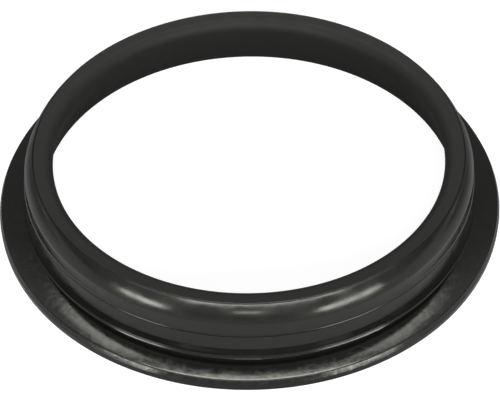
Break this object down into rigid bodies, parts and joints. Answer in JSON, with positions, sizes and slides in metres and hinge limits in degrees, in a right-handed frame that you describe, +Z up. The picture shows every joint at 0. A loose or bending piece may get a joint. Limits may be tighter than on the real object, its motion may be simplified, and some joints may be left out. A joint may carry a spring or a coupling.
{
  "type": "pipe sealing ring",
  "caption": "Moulded black rubber ring that seals a drain pipe: foot flange, low kneed band, crease and rounded bead outside, thick inward lip and flaring bore inside.",
  "frame": {"origin": "centre of the underside, on the ring's axis, in the plane the foot rests on", "axes": "+Z up the ring's axis from the foot flange to the lip; X and Y in the plane of the foot"},
  "size_m": [0.14, 0.14, 0.0194],
  "materials": {
    "rubber": "black moulded rubber, satin sheen"
  },
  "bodies": {
    "root": {"sealing_ring": "rubber"}
  },
  "joints": []
}
